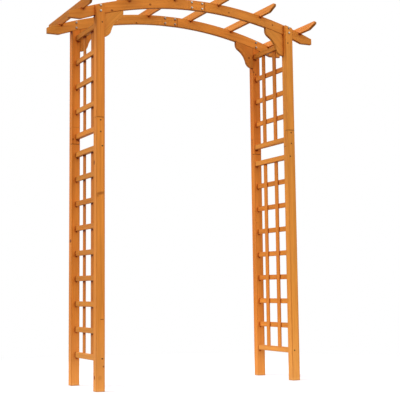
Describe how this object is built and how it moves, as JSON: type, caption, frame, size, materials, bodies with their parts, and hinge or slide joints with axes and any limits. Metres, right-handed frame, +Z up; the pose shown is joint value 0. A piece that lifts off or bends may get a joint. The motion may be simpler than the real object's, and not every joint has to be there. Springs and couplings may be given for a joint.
{
  "type": "garden arch",
  "caption": "Freestanding garden arch of stained softwood: half-lapped posts with rung and slat trellis sides carry spliced curved beams, notched rafters and ogee brackets over a path.",
  "frame": {"origin": "on the ground, midway between the four posts", "axes": "+X to the right across the walk-through, +Y to the rear along the path, +Z up"},
  "size_m": [1.54, 0.718, 2.1997],
  "materials": {
    "stained_wood": "planed softwood with a translucent orange-brown stain, satin",
    "zinc_steel": "zinc-plated, dull",
    "screw_steel": "yellow-passivated, dull"
  },
  "bodies": {
    "root": {"arch_half_front_left": "stained_wood", "arch_half_front_right": "stained_wood", "arch_half_rear_left": "stained_wood", "arch_half_rear_right": "stained_wood", "bracket_front_left": "stained_wood", "bracket_front_right": "stained_wood", "bracket_rear_left": "stained_wood", "bracket_rear_right": "stained_wood", "long_screws": "screw_steel", "nuts": "zinc_steel", "post_bolts": "zinc_steel", "post_lower_front_left": "stained_wood", "post_lower_front_right": "stained_wood", "post_lower_rear_left": "stained_wood", "post_lower_rear_right": "stained_wood", "post_upper_front_left": "stained_wood", "post_upper_front_right": "stained_wood", "post_upper_rear_left": "stained_wood", "post_upper_rear_right": "stained_wood", "rafter_1": "stained_wood", "rafter_2": "stained_wood", "rafter_3": "stained_wood", "rafter_4": "stained_wood", "rafter_5": "stained_wood", "rafter_6": "stained_wood", "rail_lower_left_bottom": "stained_wood", "rail_lower_left_top": "stained_wood", "rail_lower_right_bottom": "stained_wood", "rail_lower_right_top": "stained_wood", "rail_upper_left_bottom": "stained_wood", "rail_upper_left_top": "stained_wood", "rail_upper_right_bottom": "stained_wood", "rail_upper_right_top": "stained_wood", "rung_lower_left_1": "stained_wood", "rung_lower_left_2": "stained_wood", "rung_lower_left_3": "stained_wood", "rung_lower_left_4": "stained_wood", "rung_lower_left_5": "stained_wood", "rung_lower_left_6": "stained_wood", "rung_lower_left_7": "stained_wood", "rung_lower_right_1": "stained_wood", "rung_lower_right_2": "stained_wood", "rung_lower_right_3": "stained_wood", "rung_lower_right_4": "stained_wood", "rung_lower_right_5": "stained_wood", "rung_lower_right_6": "stained_wood", "rung_lower_right_7": "stained_wood", "rung_upper_left_1": "stained_wood", "rung_upper_left_2": "stained_wood", "rung_upper_left_3": "stained_wood", "rung_upper_right_1": "stained_wood", "rung_upper_right_2": "stained_wood", "rung_upper_right_3": "stained_wood", "short_screws": "screw_steel", "slats_lower_left": "stained_wood", "slats_lower_right": "stained_wood", "slats_upper_left": "stained_wood", "slats_upper_right": "stained_wood", "splice_bolts": "zinc_steel", "washers": "zinc_steel"}
  },
  "joints": []
}
